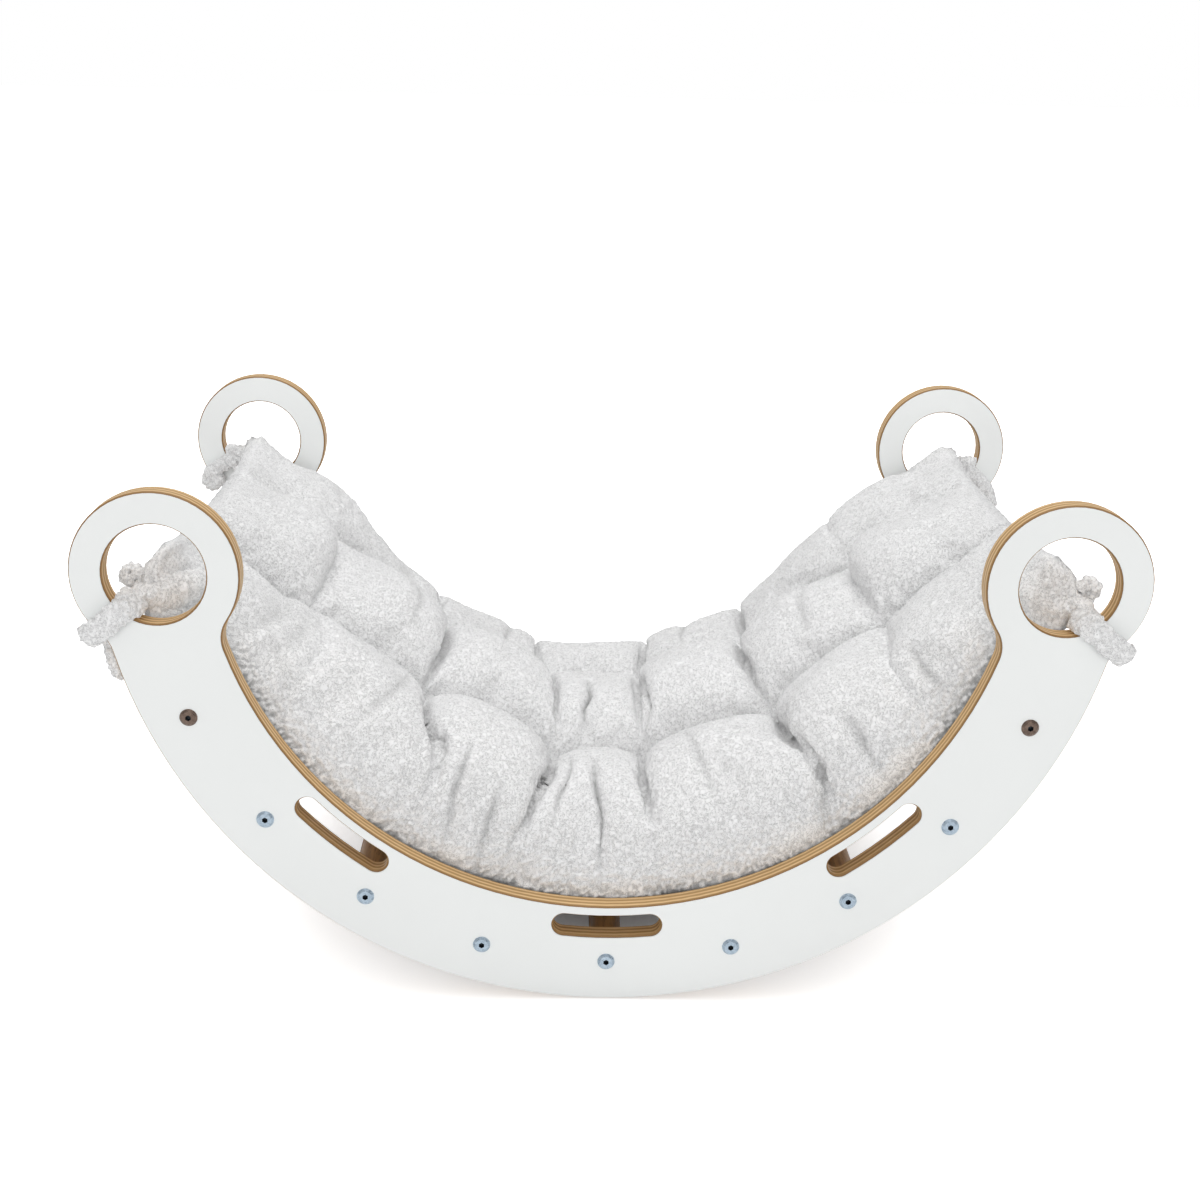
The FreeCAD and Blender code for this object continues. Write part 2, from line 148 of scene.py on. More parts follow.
# Oiled beech: warm brown with straight grain along the rod and the short dark flecks of its rays,
# each about 1 mm by 6 mm.
place = add(beech, "ShaderNodeTexCoord", {})
grain_place = add(beech, "ShaderNodeMapping", {"Vector": (place, "Object"), "Scale": (1.0, 0.06, 1.0)})
grain = add(beech, "ShaderNodeTexNoise", {"Vector": (grain_place, "Vector"), "Scale": 260.0, "Detail": 6.0})
fleck_place = add(beech, "ShaderNodeMapping", {"Vector": (place, "Object"), "Scale": (1.0, 0.17, 1.0)})
fleck = add(beech, "ShaderNodeTexVoronoi", {"Vector": (fleck_place, "Vector"), "Scale": 700.0})
tone = add(beech, "ShaderNodeValToRGB", {"Fac": (grain, "Fac")},
           [(0.3, "#7C532B"), (0.5, "#A1723E"), (0.7, "#BC8D54")])
spots = add(beech, "ShaderNodeMapRange",
            {"Value": (fleck, "Distance"), "From Min": 0.12, "From Max": 0.3,
             "To Min": 0.55, "To Max": 0.0})
flecked = add(beech, "ShaderNodeMix",
              {"Factor": (spots, "Result"), "A": (tone, "Color"), "B": linear("#6B4522")}, data_type="RGBA")
bump = add(beech, "ShaderNodeBump", {"Height": (grain, "Fac"), "Strength": 0.2, "Distance": 0.0004})
wire(shader, {"Base Color": (flecked, "Result"), "Normal": (bump, "Normal"), "Roughness": 0.42})
for number in range(1, RUNG_COUNT + 1):
    dress("rung_%d" % number, beech)


# Bolts and threaded inserts
# Flat-headed furniture bolts with a bevelled rim and a hexagon socket, one through each panel into each
# rung end, where a steel insert holds the thread. The two end bolts in front have browner heads, a painted
# reflection of dark brown surroundings.
BOLT_CIRCLE, BOLT_PITCH = 343.5, 16.2
AXIS_HEIGHT = 376.0
PANEL_FACE = 240.0
# Radii and heights above the panel, in millimetres
SHANK = ((2.2, -40), (3.0, -39), (3.0, 0))
HEAD = ((6.6, 0), (6.6, 0.4), (4.9, 2.0))
SOCKET = ((2.0, 2.0), (2.0, -0.6))
SEGMENTS = 48


def grid_mesh(name, points, upper=None):
    """Closed mesh from a grid of points in millimetres whose columns run round the piece.

    Each end is sewn shut by narrow faces from its upper columns, half of them if not said, to the rest.
    """
    rows, columns = points.shape[:2]
    upper = upper or columns // 2
    index = np.arange(rows * columns).reshape(rows, columns)
    turned = np.roll(index, -1, 1)
    faces = np.stack([index[:-1], index[1:], turned[1:], turned[:-1]], -1).reshape(-1, 4).tolist()
    marks = np.linspace(0, upper, columns - upper + 1).round().astype(int)
    for number, (start, stop) in enumerate(zip(marks, marks[1:])):
        lower = [(columns - number - 1) % columns, (columns - number) % columns]
        face = list(dict.fromkeys(list(range(start, stop + 1)) + lower))
        faces.append(index[0][face].tolist())
        faces.append(index[-1][face[::-1]].tolist())
    mesh = bpy.data.meshes.new(name)
    mesh.from_pydata((points.reshape(-1, 3) / 1000).tolist(), [], faces)
    mesh.polygons.foreach_set("use_smooth", np.ones(len(mesh.polygons), bool))
    mesh.update()
    piece = bpy.data.objects.new(name, mesh)
    bpy.context.collection.objects.link(piece)
    return piece


def joined(name, pieces):
    """One piece out of several, which keeps their materials."""
    with bpy.context.temp_override(active_object=pieces[0], selected_editable_objects=pieces):
        bpy.ops.object.join()
    pieces[0].name = name
    return pieces[0]


metals = {}
for name, dull, bright in (("bright_zinc_plating", "#A9BBCB", "#C6D6E4"),
                           ("zinc_with_painted_reflection", "#6E5E55", "#8A786D"),
                           ("socket_painted_shade", "#23272B", "#34383D")):
    # Zinc-plated steel: cool blue-grey metal with a soft mirror and slightly cloudy plating. A browner copy
    # is a painted reflection of dark brown surroundings on two heads, and the near black inside the sockets
    # is painted shade in their depth.
    metal, shader = new_material(name)
    place = add(metal, "ShaderNodeTexCoord", {})
    cloud = add(metal, "ShaderNodeTexNoise", {"Vector": (place, "Object"), "Scale": 400.0, "Detail": 2.0})
    tone = add(metal, "ShaderNodeValToRGB", {"Fac": (cloud, "Fac")}, [(0.3, dull), (0.7, bright)])
    rough = add(metal, "ShaderNodeMapRange", {"Value": (cloud, "Fac"), "To Min": 0.2, "To Max": 0.36})
    wire(shader, {"Base Color": (tone, "Color"), "Roughness": (rough, "Result"), "Metallic": 1.0})
    metals[name] = metal
for name in ("front_rung_inserts", "back_rung_inserts"):
    dress(name, metals["bright_zinc_plating"])

round_bolt = np.linspace(0, 2 * np.pi, SEGMENTS, endpoint=False)
six_sided = 1 / np.cos((round_bolt + np.pi / 6) % (np.pi / 3) - np.pi / 6)
radii = [np.full(SEGMENTS, radius) for radius, _ in SHANK + HEAD]
radii = np.array(radii + [radius * six_sided for radius, _ in SOCKET])
heights = np.array([height for _, height in SHANK + HEAD + SOCKET], float)
wall_faces = (len(heights) - 1) * SEGMENTS
for panel, y_side in (("front", -1), ("back", 1)):
    bolts = []
    for number in range(RUNG_COUNT):
        bolt_angle = math.radians((number - RUNG_COUNT // 2) * BOLT_PITCH)
        x = BOLT_CIRCLE * math.sin(bolt_angle) + y_side * radii * np.cos(round_bolt)
        z = AXIS_HEIGHT - BOLT_CIRCLE * math.cos(bolt_angle) + radii * np.sin(round_bolt)
        y = np.broadcast_to(y_side * (PANEL_FACE + heights)[:, None], radii.shape)
        bolt = grid_mesh("bolt", np.stack([x, y, z], -1))
        bolt.data.shade_flat()
        # Painted reflection: the two end heads in front take the browner copy of the zinc
        at_end = panel == "front" and number in (0, RUNG_COUNT - 1)
        bolt.data.materials.append(metals["zinc_with_painted_reflection" if at_end else "bright_zinc_plating"])
        # Painted shade: the socket's walls and bottom are near black, for the shade deep inside it
        bolt.data.materials.append(metals["socket_painted_shade"])
        # The socket's walls, and its bottom, which has every second one of the faces that shut the ends
        in_socket = np.zeros(len(bolt.data.polygons), int)
        in_socket[len(SHANK + HEAD) * SEGMENTS:wall_faces] = 1
        in_socket[wall_faces + 1::2] = 1
        bolt.data.polygons.foreach_set("material_index", in_socket)
        bolts.append(bolt)
    row_of_bolts = joined("%s_flat_head_bolts" % panel, bolts)
    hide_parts("%s_bolts" % panel)
    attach(row_of_bolts, "root")


# Tufted cushion
# A long bag of curly white fleece, filled with loose fibre and bent to the rungs. Thread pulls it down
# at two rows of six tufts, which leaves three rows of puffs with creases and gathers between them.
BASE_RADIUS = 329.6
SEAM_Y, WIDEST_Y = 221.2, 221.6
VALLEY_Y = 74.0
# Angles are degrees from the bottom of the arc. Each end rises to an ear near its corners and drops again
# at the seams.
END_ANGLE, EAR_ANGLE = 83.5, 2.8
EAR_FROM, EAR_DROP = 0.88, 1.4
# The front side, the front crest, the two channels and the back side, and the angles at which each line of
# tufts crosses them
TUFT_ROWS = (-205.0, -160.0, -VALLEY_Y, VALLEY_Y, 205.0)
TUFTS = (
    (-60.6, -62.0, -64.6, -72.0, -72.0),
    (-33.0, -39.3, -39.8, -40.5, -41.0),
    (-14.5, -11.5, -10.0, -14.0, -16.0),
    (8.2, 7.2, 7.7, 8.4, 12.0),
    (39.2, 37.0, 35.0, 34.0, 35.7),
    (59.0, 61.0, 62.8, 64.5, 66.0),
)
PUFF_COUNT = len(TUFTS) + 1
# Heights above the base, from left to right: tufts in the two channels, then puffs and creases in the
# front, middle and back rows
TUFT_DEPTHS = ((44, 68, 74, 68, 70, 60), (46, 82, 80, 78, 84, 62))
PUFF_DEPTHS = (
    (46, 106, 128, 115, 121, 114, 66),
    (74, 124, 136, 127, 140, 125, 90),
    (50, 91, 107, 108, 113, 109, 71),
)
CREASE_DEPTHS = (
    (78, 96, 95, 97, 88, 77),
    (74, 110, 117, 117, 112, 89),
    (80, 97, 95, 101, 92, 96),
)
CHANNEL_SINK, END_DEPTH = 3.0, 12.0
# How square and how round a puff is along its row, and the half puffs, counted from the left end, that
# rise gently because the filling is thin there
SWELL_SQUARE, SWELL_ROUND = 2.2, 0.6
GENTLE_HALVES = (1, 2, 11, 12)
# The sides: height of the seam as a share of the puff's, roundness, and how far they draw in
SEAM_SHARE, SIDE_ROUND = 0.27, 1.1
DRAWN_AT_CREASE, DRAWN_AT_END = 4.0, 3.0
# The base's edges roll up to the seam, 62 mm wide under a crown of 117 mm, and its ends sag outwards past
# the last rung
EDGE_ROLL, EDGE_ROUND = 62 / 117, 2.2
SAG_FROM, SAG_FULL = 67.0, 78.0
SAG, CORNER_SAG, SAG_DEPTH = 8.0, 20.0, 60.0


def cushion_points(along, across):
    """Points over the cushion: a row for each step along the arc, a column for each step round a section.

    The section starts at the front seam and runs over the front, middle and back rows (0, 1 and 2) and
    under the base (3). Each point's angle, place across the width and row come with it.
    """
    side_steps, middle_steps, base_steps = across
    sides = np.pi * np.arange(side_steps) / side_steps
    middle = np.pi * np.arange(middle_steps) / middle_steps
    under = np.arange(base_steps) / base_steps
    turn = np.concatenate([sides, middle, np.pi - sides, under])[None, :]
    row = np.repeat([0, 1, 2, 3], [side_steps, middle_steps, side_steps, base_steps])[None, :]
    side = np.where(row == 0, -1, 1)
    centre, reach = (SEAM_Y + VALLEY_Y) / 2, (SEAM_Y - VALLEY_Y) / 2
    y = np.where(row == 1, -VALLEY_Y * np.cos(turn), side * (centre + reach * np.cos(turn)))
    y = np.where(row == 3, SEAM_Y * (1 - 2 * turn), y)
    to_side = np.abs(y / SEAM_Y)
    corner = np.clip((to_side - EAR_FROM) / (1 - EAR_FROM), 0, 1)
    ends = END_ANGLE + EAR_ANGLE * (to_side ** 4 - EAR_DROP * corner ** 2)
    angle = np.linspace(-1, 1, along)[:, None] * ends

    # Which puff of its row each point is on, how far through it, and how high the puff swells there
    lines = np.stack([np.interp(y, TUFT_ROWS, line) for line in TUFTS])
    limits = np.concatenate([-ends[None], lines, ends[None]])
    column = np.clip((angle >= limits).sum(0) - 1, 0, PUFF_COUNT - 1)
    limits = np.broadcast_to(limits, (PUFF_COUNT + 1,) + angle.shape)
    start = np.take_along_axis(limits, column[None], 0)[0]
    stop = np.take_along_axis(limits, column[None] + 1, 0)[0]
    share = np.clip((angle - start) / (stop - start), 0, 1)
    swell = (1 - np.abs(2 * share - 1) ** SWELL_SQUARE) ** SWELL_ROUND
    gentle = np.isin(2 * column + (share > 0.5), GENTLE_HALVES)
    swell = np.where(gentle, 1 - (2 * share - 1) ** 2, swell)
    run_out = np.where(column == 0, 1 - share, np.where(column == PUFF_COUNT - 1, share, 0))

    # Crown of each row. Its creases run out towards the side seams, and under the base the front row's
    # crown passes into the back row's.
    to_ends = ((0, 0), (1, 1))
    puffs = np.array(PUFF_DEPTHS, float)
    creases = np.pad(np.array(CREASE_DEPTHS, float), to_ends, constant_values=END_DEPTH)
    smooth = np.maximum(creases, np.pad((puffs[:, 1:] + puffs[:, :-1]) / 2, to_ends))
    near_seam = np.where(row == 3, 1, np.where(row == 1, 0, np.clip(np.cos(turn), 0, 1)))
    weights = np.stack([np.where(row == 3, turn, row == 0), row == 1,
                        np.where(row == 3, 1 - turn, row == 2)])
    heights = creases[:, None, None] + (smooth - creases)[:, None, None] * near_seam[..., None]
    heights = np.broadcast_to((weights[..., None] * heights).sum(0), angle.shape + (PUFF_COUNT + 1,))
    before = np.take_along_axis(heights, column[..., None], 2)[..., 0]
    after = np.take_along_axis(heights, column[..., None] + 1, 2)[..., 0]
    puff = (weights * puffs[:, column]).sum(0)
    crown = before + (after - before) * share + (puff - (before + after) / 2) * swell

    # Channels between the rows, from tuft to tuft
    valleys = np.pad(np.array(TUFT_DEPTHS, float), to_ends, constant_values=END_DEPTH)
    valley = valleys[:, column] + (valleys[:, column + 1] - valleys[:, column]) * share
    to_back = np.clip((y / VALLEY_Y + 1) / 2, 0, 1)
    channel = valley[0] + (valley[1] - valley[0]) * to_back - CHANNEL_SINK * swell
    channel = np.minimum(channel, crown)

    # Section: half ellipses between the channels, round sides down to the seam, and a rolled base
    half = SEAM_Y - DRAWN_AT_CREASE * (1 - swell) - DRAWN_AT_END * run_out
    seam = SEAM_SHARE * crown
    rise = np.sin(turn)
    outer = seam + (crown - seam) * rise ** SIDE_ROUND
    inner = channel + (crown - channel) * rise
    depth = np.where((row != 1) & (np.cos(turn) > 0), outer, inner)
    across_y = np.where(row == 1, y, side * (VALLEY_Y + (half - VALLEY_Y) * (1 + np.cos(turn)) / 2))
    inwards = np.minimum(turn, 1 - turn) * 2 * SEAM_Y
    roll = np.clip(1 - inwards / (EDGE_ROLL * crown + 1), 0, 1)
    depth = np.where(row == 3, seam * roll ** EDGE_ROUND, depth)
    across_y = np.where(row == 3, y * half / SEAM_Y, across_y)

    # Past the last rung the ends sag outwards, most of all at the corners
    past_rung = np.clip((np.abs(angle) - SAG_FROM) / (SAG_FULL - SAG_FROM), 0, 1)
    to_end = np.clip((np.abs(angle) - SAG_FULL) / (END_ANGLE + EAR_ANGLE - SAG_FULL), 0, 1)
    sag = (SAG + CORNER_SAG * to_side ** 4) * np.sin(past_rung * np.pi / 2) ** 2 * (1 - to_end ** 2)
    radius = BASE_RADIUS + sag * np.clip(1 - depth / SAG_DEPTH, 0, 1) - depth
    bend = np.radians(angle)
    points = np.stack([radius * np.sin(bend), across_y, AXIS_HEIGHT - radius * np.cos(bend)], -1)
    return points, angle, np.broadcast_to(y, angle.shape), np.broadcast_to(row, angle.shape)


def grid_normals(points):
    """Outward directions at the points of a grid."""
    along = np.gradient(points, axis=0)
    around = np.roll(points, -1, 1) - np.roll(points, 1, 1)
    normals = np.cross(along, around)
    return normals / np.maximum(np.linalg.norm(normals, axis=-1, keepdims=True), 1e-9)


def curls(points, size, seed):
    """Lumps of about one size all over the points, from waves in every direction."""
    wave_count = 40
    random = np.random.default_rng(seed)
    total = np.zeros(points.shape[:-1])
    for _ in range(wave_count):
        direction = random.normal(size=3)
        wave = direction / np.linalg.norm(direction) * 2 * np.pi / size * random.uniform(0.75, 1.3)
        total += np.cos(points @ wave + random.uniform(0, 2 * np.pi))
    return total / math.sqrt(wave_count / 2)


def through(rows, spots):
    """Rows of a Catmull-Rom curve through the given rows, at spots counted in rows."""
    first = np.clip(np.floor(spots).astype(int), 0, len(rows) - 2)
    t = (spots - first).reshape((-1,) + (1,) * (rows.ndim - 1))
    padded = np.concatenate([2 * rows[:1] - rows[1:2], rows, 2 * rows[-1:] - rows[-2:-1]])
    a, b, c, d = (padded[first + i] for i in range(4))
    square = (2 * a - 5 * b + 4 * c - d) * t ** 2
    cube = (3 * b - a - 3 * c + d) * t ** 3
    return 0.5 * (2 * b + (c - a) * t + square + cube)


# Steps along and across the cloth that is blown up, and how much finer the finished cushion is
COARSE_ALONG, COARSE_ACROSS, FINER = 126, (34, 26, 20), 4.5
fine_along = int((COARSE_ALONG - 1) * FINER) + 1
points, angle, y, row = cushion_points(fine_along, [int(steps * FINER) for steps in COARSE_ACROSS])
top = row < 3

# The radius that turns angles into lengths, how far round a tuft and beside a crease the thread holds the
# cloth and how hard, and how far the rest may swell
CREASE_ARC = 260.0
TUFT_HOLD, TUFT_GRIP = 12.0, 1.4
CREASE_HOLD, CREASE_GRIP = 9.0, 0.7
SEAM_HOLD_Y = 212.0
CLOTH_FRAMES = 20
SWELL_LIMIT = 3.0
# The fleece is cut with spare cloth and blown up from inside by the filling, held at its seams and
# tufts, so that it swells and puckers as sewn cloth does.
plain, plain_angle, plain_y, plain_row = cushion_points(COARSE_ALONG, COARSE_ACROSS)
bag = grid_mesh("bag", plain, (plain_row[0] < 3).sum())
lines = np.stack([np.interp(plain_y, TUFT_ROWS, line) for line in TUFTS])
to_line = np.abs(np.radians(plain_angle - lines)).min(0) * CREASE_ARC
to_channel = np.abs(np.abs(plain_y) - VALLEY_Y)
held = np.clip(TUFT_GRIP - np.hypot(to_line, to_channel) / TUFT_HOLD, 0, 1)
to_crease = np.minimum(to_line, to_channel)
held = np.maximum(held, CREASE_GRIP * np.clip(1 - to_crease / CREASE_HOLD, 0, 1))
held = np.where((plain_row == 3) | (np.abs(plain_y) > SEAM_HOLD_Y), 1, held)
held[:3] = held[-3:] = 1
group = bag.vertex_groups.new(name="held")
for index, weight in enumerate(held.ravel()):
    group.add([index], float(weight), "REPLACE")
cloth = bag.modifiers.new("cloth", "CLOTH")
cloth.settings.quality = 6
cloth.settings.mass = 0.3
cloth.settings.tension_stiffness = cloth.settings.compression_stiffness = 8
cloth.settings.bending_stiffness = 8
cloth.settings.shrink_min = -0.03
cloth.settings.use_pressure = True
cloth.settings.uniform_pressure_force = 4
cloth.settings.vertex_group_mass = "held"
cloth.settings.pin_stiffness = 1.0
cloth.settings.effector_weights.gravity = 0
for number in range(1, CLOTH_FRAMES + 1):
    bpy.context.scene.frame_set(number)
swollen = bag.evaluated_get(bpy.context.evaluated_depsgraph_get()).to_mesh()
moved = np.empty(len(swollen.vertices) * 3)
swollen.vertices.foreach_get("co", moved)
moved = moved.reshape(plain.shape) * 1000 - plain
bpy.context.scene.frame_set(1)
bpy.data.objects.remove(bag)
shift = np.linalg.norm(moved, axis=-1, keepdims=True)
moved *= np.minimum(1, SWELL_LIMIT / np.maximum(shift, 1e-9))
moved = through(moved, np.arange(fine_along) / FINER)
wrapped = np.concatenate([moved[:, -2:], moved, moved[:, :3]], 1).swapaxes(0, 1)
moved = through(wrapped, 2 + np.arange(points.shape[1]) / FINER).swapaxes(0, 1)
points = points + moved

# Gathers where the fleece is drawn up, creases between the tufts, and small pleats round each tuft. Every
# fold has a depth, a width, and the angles and places across the cushion that it runs through.
GATHERS = (
    (6, 3.5, ((-12.6, -178), (-13.6, -194), (-14.5, -206), (-16.1, -214), (-16.3, -222))),
    (7, 3.5, ((-7.6, -140), (-8.4, -170), (-9.4, -193), (-9.8, -208))),
    (11, 3.5, ((-2.9, -150), (-2.4, -175), (-1.5, -192), (-1.2, -209), (-0.9, -221))),
    (7, 2.6, ((7.2, -150), (6.9, -172), (7.6, -186), (8, -204))),
    (8, 4, ((39, -178), (39.6, -188), (40, -200), (39.4, -209), (38.4, -215), (36.4, -219), (34.4, -222))),
    (7, 3.5, ((-39.3, -150), (-39.1, -171), (-35.9, -179), (-33.6, -192), (-32.6, -209))),
    (11, 4, ((-4, 6), (-3.6, -12), (-3.2, -24), (-4.6, -40), (-4.4, -60))),
    (9, 4, ((7.7, -66), (10.3, -45), (9.6, -20), (9, 20))),
    (6, 7, ((66, -175), (62.5, -219))),
    (5, 7, ((50, -195), (47, -222))),
    (6, 5, ((-29.5, -180), (-28.7, -208), (-26, -222))),
    (3, 10, ((-69, -120), (-72, -210))),
    (4, 8, ((-46, -120), (-50, -205))),
    (4, 8, ((18, -120), (21, -210))),
    (4, 8, ((55, 20), (51, -50))),
    (4, 8, ((-50, -50), (-54, 40))),
    (5, 7, ((-24, 110), (-22, 205))),
    (5, 7, ((20, 110), (23, 205))),
    (3, 9, ((-66, -100), (-66, -193), (-58.5, -216))),
    (6, 6, ((-21.5, -200), (-20.3, -224))),
)
CREASE_FOLD = (5, 2.6)
MIDDLE_CREASE_END, SIDE_CREASE_START, BACK_CREST, BACK_CREASE_END = 70.0, 80.0, 140.0, 190.0
FOLD_ARC = 240.0
FOLD_TAPER, FOLD_POINT = 0.7, 1.3
FOLD_SHADE, FULL_SHADE_DEPTH = 0.68, 10.0
PLEAT_COUNTS, PLEAT_HEIGHT, PLEAT_START, PLEAT_REACH, PLEAT_SWAY = (6, 9), 0.8, 8.0, 30.0, 0.8
LUMP_HEIGHT, LUMP_SIZE = 1.2, 75.0
normals = grid_normals(points)
arc = np.radians(angle) * FOLD_ARC
folds = list(GATHERS)
for front, crest, near, far, back in TUFTS[1:5]:
    runs = (((near, -MIDDLE_CREASE_END), (far, MIDDLE_CREASE_END)),
            ((near, -SIDE_CREASE_START), (crest, TUFT_ROWS[1]), (front, TUFT_ROWS[0])),
            ((far, SIDE_CREASE_START), ((far + back) / 2, BACK_CREST), (back, BACK_CREASE_END)))
    folds += [CREASE_FOLD + (run,) for run in runs]
gathered = np.zeros(angle.shape)
shut = np.zeros(angle.shape)
for fold_depth, fold_width, run in folds:
    corners = np.array([(math.radians(a) * FOLD_ARC, b) for a, b in run])
    lengths = np.linalg.norm(np.diff(corners, axis=0), axis=1)
    # Painted shade: each fold also greys the fleece along its line, more for deeper folds
    shade = FOLD_SHADE * min(1, fold_depth / FULL_SHADE_DEPTH)
    done = 0.0
    for start, stop, length in zip(corners, corners[1:], lengths):
        ahead = stop - start
        from_arc, from_y = arc - start[0], y - start[1]
        nearest = np.clip((from_arc * ahead[0] + from_y * ahead[1]) / (ahead @ ahead), 0, 1)
        away = np.hypot(from_arc - nearest * ahead[0], from_y - nearest * ahead[1]) / fold_width
        along_fold = np.clip((done + nearest * length) / lengths.sum(), 0, 1)
        taper = np.sin(np.pi * along_fold) ** FOLD_TAPER * top
        gathered = np.maximum(gathered, fold_depth * taper * np.exp(-away ** FOLD_POINT))
        shut = np.maximum(shut, shade * taper * np.exp(-(2 * away) ** 2))
        done += length
random = np.random.default_rng(11)
pleats = np.zeros(angle.shape)
tuft_spots = [spot for line in TUFTS for spot in zip(line[2:4], TUFT_ROWS[2:4])]
for tuft_angle, tuft_y in tuft_spots:
    from_arc, from_y = arc - math.radians(tuft_angle) * FOLD_ARC, y - tuft_y
    away = np.hypot(from_arc, from_y)
    bearing = np.arctan2(from_y, from_arc)
    count = random.integers(*PLEAT_COUNTS)
    first = random.uniform(0, 6)
    lean = PLEAT_SWAY * np.sin(bearing + random.uniform(0, 6))
    wave = np.cos(count * bearing + first + lean)
    pleats += wave * np.clip(away / PLEAT_START, 0, 1) * np.exp(-(away / PLEAT_REACH) ** 2) * top
gathered += PLEAT_HEIGHT * pleats
points = points + normals * (LUMP_HEIGHT * curls(points, LUMP_SIZE, 3) * top - gathered)[..., None]

# Pile, longest at the side seams, where the panels squeeze it and painted shade lies between its curls.
# Each curl has a height and a size.
CURL_BASE, CURL_ROUND = 0.35, 0.8
LARGE_CURL, SMALL_CURL = (0.4, 6.0), (0.45, 4.4)
PILE_HEIGHT, SEAM_PILE_EXTRA, SEAM_PILE_FROM, SEAM_PILE_WIDTH = 0.6, 1.5, 200.0, 18.0
PANEL_INNER_ARC = 297.5
SQUEEZED_HEIGHT, SQUEEZED_FROM_Y, SQUEEZED_SHADE, CURL_SHADE_HEIGHT = 12.0, 195.0, 0.65, 0.6
SQUEEZED_END, SQUEEZED_FADE = 74.0, 8.0
normals = grid_normals(points)
pile = LARGE_CURL[0] * curls(points, LARGE_CURL[1], 5) + SMALL_CURL[0] * curls(points, SMALL_CURL[1], 6)
pile = np.clip(CURL_BASE + pile, 0, None) ** CURL_ROUND
# Painted shade: near the panels' inner edges the fleece is greyed between its curls
above_panel = PANEL_INNER_ARC - np.hypot(points[..., 0], points[..., 2] - AXIS_HEIGHT)
squeezed = np.clip(1 - above_panel / SQUEEZED_HEIGHT, 0, 1) * top
squeezed *= np.abs(points[..., 1]) > SQUEEZED_FROM_Y
squeezed *= np.clip((SQUEEZED_END - np.abs(angle)) / SQUEEZED_FADE, 0, 1)
shut = np.maximum(shut, SQUEEZED_SHADE * squeezed * np.clip(1 - pile / CURL_SHADE_HEIGHT, 0, 1))
pile *= PILE_HEIGHT + SEAM_PILE_EXTRA * np.clip((np.abs(y) - SEAM_PILE_FROM) / SEAM_PILE_WIDTH, 0, 1)
points = points + normals * pile[..., None]
points[..., 1] = np.clip(points[..., 1], -WIDEST_Y, WIDEST_Y)

fleece, shader = new_material("white_teddy_fleece")
# Teddy fleece, a knitted polyester pile worked into small curls: matt white with a soft bright edge, and
# fine winding grey lines about 2.5 mm apart where one curl meets the next, which are painted shade between
# the curls. Shut creases and the squeezed edge are painted greyer still, painted shade where light hardly
# gets down between curls that are pressed together.
place = add(fleece, "ShaderNodeTexCoord", {})
noise = add(fleece, "ShaderNodeTexNoise",
            {"Vector": (place, "Object"), "Scale": 400.0, "Detail": 1.0, "Roughness": 0.5,
             "Distortion": 0.8})
middle = add(fleece, "ShaderNodeMath", {0: (noise, "Fac"), 1: 0.5}, operation="SUBTRACT")
curl = add(fleece, "ShaderNodeMath", {0: (middle, "Value")}, operation="ABSOLUTE")
rounded = add(fleece, "ShaderNodeMapRange", {"Value": (curl, "Value"), "From Max": 0.08},
              interpolation_type="SMOOTHSTEP")
# Painted shade: grey where one curl meets the next, white on the curls
tone = add(fleece, "ShaderNodeValToRGB", {"Fac": (rounded, "Result")},
           [(0.0, "#D4D4D4"), (0.4, "#EDEDED"), (0.9, "#F7F7F7")])
# Painted shade: the folds and the squeezed edge, mixed towards grey
crease = add(fleece, "ShaderNodeAttribute", {}, attribute_name="painted_crease_shade")
deep = add(fleece, "ShaderNodeMix",
           {"Factor": (crease, "Fac"), "A": (tone, "Color"), "B": linear("#8C8C8B")}, data_type="RGBA")
bump = add(fleece, "ShaderNodeBump", {"Height": (rounded, "Result"), "Strength": 0.6, "Distance": 0.001})
wire(shader, {"Base Color": (deep, "Result"), "Normal": (bump, "Normal"), "Roughness": 0.95,
              "Specular IOR Level": 0.15, "Sheen Weight": 0.25, "Sheen Roughness": 0.6})

cushion = grid_mesh("tufted_fleece_cushion", points, top[0].sum())
cushion.data.attributes.new("painted_crease_shade", "FLOAT", "POINT").data.foreach_set("value", shut.ravel())
cushion.data.materials.append(fleece)
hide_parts("cushion_top_cover", "cushion_base_cover", "cushion_filling")
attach(cushion, "root")


# Tuft stitches
# Doubled polyester thread, sewn up through the base at each tuft, a few millimetres along and down again,
# pulled tight enough to sink into the fleece.
STITCH_SPAN, THREAD_HALF = 6.0, 0.6
STITCH_STEPS, STITCH_SIDES = 60, 10
THREAD_END = BASE_RADIUS - 3.0


def strand(places, steps, sides, width):
    """Grid round a smooth path of three coordinates and a half thickness, wider across the second one.

    Both ends are rounded off.
    """
    path = through(np.array(places, float), np.linspace(0, len(places) - 1, steps))
    centre, half = path[:, :3], path[:, 3]
    ahead = np.gradient(centre, axis=0)
    ahead /= np.linalg.norm(ahead, axis=1, keepdims=True)
    sideways = np.array([0.0, 1.0, 0.0]) - ahead * ahead[:, 1:2]
    sideways /= np.maximum(np.linalg.norm(sideways, axis=1, keepdims=True), 1e-6)
    normal = np.cross(sideways, ahead)
    turn = np.linspace(0, 2 * np.pi, sides, endpoint=False)
    to_start = np.concatenate([[0], np.linalg.norm(np.diff(centre, axis=0), axis=1).cumsum()])
    to_tip = np.minimum(to_start, to_start[-1] - to_start) / half
    reach = (half * np.sqrt(np.clip(1 - np.clip(1 - to_tip, 0, 1) ** 2, 0.003, 1)))[:, None]
    return (centre[:, None] + sideways[:, None] * (width * reach * np.cos(turn))[..., None]
            + normal[:, None] * (reach * np.sin(turn))[..., None])


thread, shader = new_material("white_polyester_thread")
